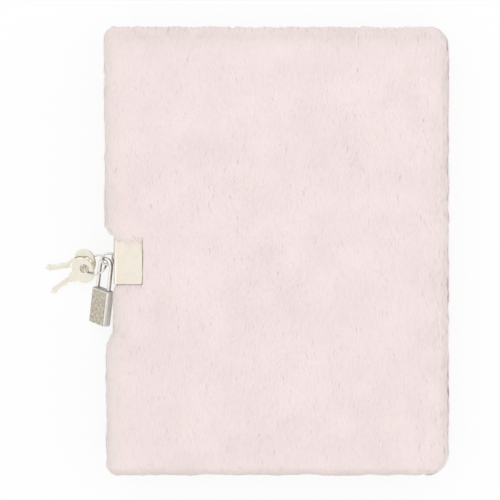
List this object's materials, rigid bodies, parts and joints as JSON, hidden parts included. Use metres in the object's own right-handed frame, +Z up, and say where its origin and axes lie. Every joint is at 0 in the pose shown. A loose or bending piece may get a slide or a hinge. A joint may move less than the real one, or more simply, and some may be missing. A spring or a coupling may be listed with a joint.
{
  "type": "diary with lock",
  "caption": "Diary in a plush-covered hard case with a metal clasp at the fore edge, a small padlock hung on it and keys on a ring.",
  "frame": {"origin": "middle of the back cover's underside, on the table the closed diary lies on", "axes": "+X from the fore edge to the spine, +Y from tail to head, +Z up out of the front cover"},
  "size_m": [0.1938, 0.215, 0.023],
  "materials": {
    "plush": "short-pile pale pink plush, nap towards the tail",
    "board": "grey board",
    "endpaper": "matte pink",
    "page_paper": "matte white",
    "lining": "open weave",
    "nickel_sheet": "satin nickel plate",
    "nickel_wire": "bright nickel plate",
    "lock_shell": "bright sides, brushed face",
    "key_nickel": "polished nickel plate",
    "lock_works": "turned",
    "spring_steel": "drawn wire"
  },
  "bodies": {
    "back_cover": {"back_board": "board", "back_plush": "plush", "back_pastedown": "endpaper", "back_flyleaf": "endpaper", "back_pages": "page_paper", "spine_lining": "lining", "back_clasp_plate": "nickel_sheet", "back_joint_plush": "plush"},
    "spine": {"spine_board": "board", "spine_plush": "plush", "front_joint_plush": "plush"},
    "front_cover": {"front_board": "board", "front_plush": "plush", "front_pastedown": "endpaper", "front_clasp_plate": "nickel_sheet"},
    "upper_pages": {"front_pages": "page_paper", "front_flyleaf": "endpaper"},
    "front_loop": {"front_loop": "nickel_wire"},
    "back_loop": {"back_loop": "nickel_wire"},
    "shackle": {"shackle": "nickel_wire"},
    "lock_case": {"lock_front_half": "lock_shell", "lock_back_half": "lock_shell", "case_pins": "lock_works", "shackle_spring": "spring_steel", "latch_spring": "spring_steel"},
    "lock_plug": {"lock_plug": "lock_works"},
    "lock_latch": {"lock_latch": "lock_works"},
    "key_ring": {"key_ring": "nickel_wire"},
    "front_key": {"front_key": "key_nickel"},
    "rear_key": {"rear_key": "key_nickel"}
  },
  "joints": [
    {"name": "pages_turn", "type": "hinge", "parent": "back_cover", "child": "upper_pages", "pos_m": [0.075, 0, 0.0115], "axis": [0, 1, 0], "range_deg": [0, 180], "deforming": ["spine_lining"]},
    {"name": "spine_fold", "type": "hinge", "parent": "back_cover", "child": "spine", "pos_m": [0.0763, 0, 0.0062], "axis": [0, 1, 0], "range_deg": [0, 90], "deforming": ["back_joint_plush"]},
    {"name": "cover_fold", "type": "hinge", "parent": "spine", "child": "front_cover", "pos_m": [0.0763, 0, 0.0168], "axis": [0, 1, 0], "range_deg": [0, 90], "deforming": ["front_joint_plush"]},
    {"name": "front_loop_swing", "type": "hinge", "parent": "front_cover", "child": "front_loop", "pos_m": [-0.07715, -0.0042, 0.013], "axis": [0, 1, 0], "range_deg": [0, 10]},
    {"name": "back_loop_swing", "type": "hinge", "parent": "back_cover", "child": "back_loop", "pos_m": [-0.07715, -0.0042, 0.01], "axis": [0, 1, 0], "range_deg": [-4, 24]},
    {"name": "padlock_swing", "type": "hinge", "parent": "front_loop", "child": "shackle", "pos_m": [-0.07715, -0.0069, 0.013], "axis": [-1, 0, 0], "range_deg": [0, 60]},
    {"name": "shackle_release", "type": "slide", "parent": "shackle", "child": "lock_case", "axis": [-0.1152, -0.9659, -0.2317], "range_m": [0, 0.0055], "deforming": ["shackle_spring"]},
    {"name": "plug_turn", "type": "hinge", "parent": "lock_case", "child": "lock_plug", "pos_m": [-0.0812, -0.00405, 0.013], "axis": [-0.1152, -0.9659, -0.2317], "range_deg": [0, 90]},
    {"name": "latch_slide", "type": "slide", "parent": "lock_case", "child": "lock_latch", "axis": [-0.6952, 0.245, -0.6757], "range_m": [0, 0.0017], "deforming": ["latch_spring"]},
    {"name": "key_ring_swing", "type": "hinge", "parent": "shackle", "child": "key_ring", "pos_m": [-0.08568, -0.01762, 0.00684], "axis": [0.1152, 0.9659, 0.2317], "range_deg": [0, 60]},
    {"name": "front_key_fan", "type": "hinge", "parent": "key_ring", "child": "front_key", "pos_m": [-0.0921, -0.00883, 0.00523], "axis": [-0.1842, -0.129, 0.9744], "range_deg": [-15, 45]},
    {"name": "rear_key_fan", "type": "hinge", "parent": "key_ring", "child": "rear_key", "pos_m": [-0.09099, -0.00526, 0.00322], "axis": [-0.0406, -0.3527, 0.9348], "range_deg": [-40, 15]}
  ],
  "couplings": [
    {"joint": "spine_fold", "follows": "pages_turn", "ratio": 0.5},
    {"joint": "cover_fold", "follows": "pages_turn", "ratio": 0.5},
    {"joint": "plug_turn", "follows": "shackle_release", "rad_per_m": 285.6},
    {"joint": "latch_slide", "follows": "shackle_release", "ratio": 0.30856}
  ]
}
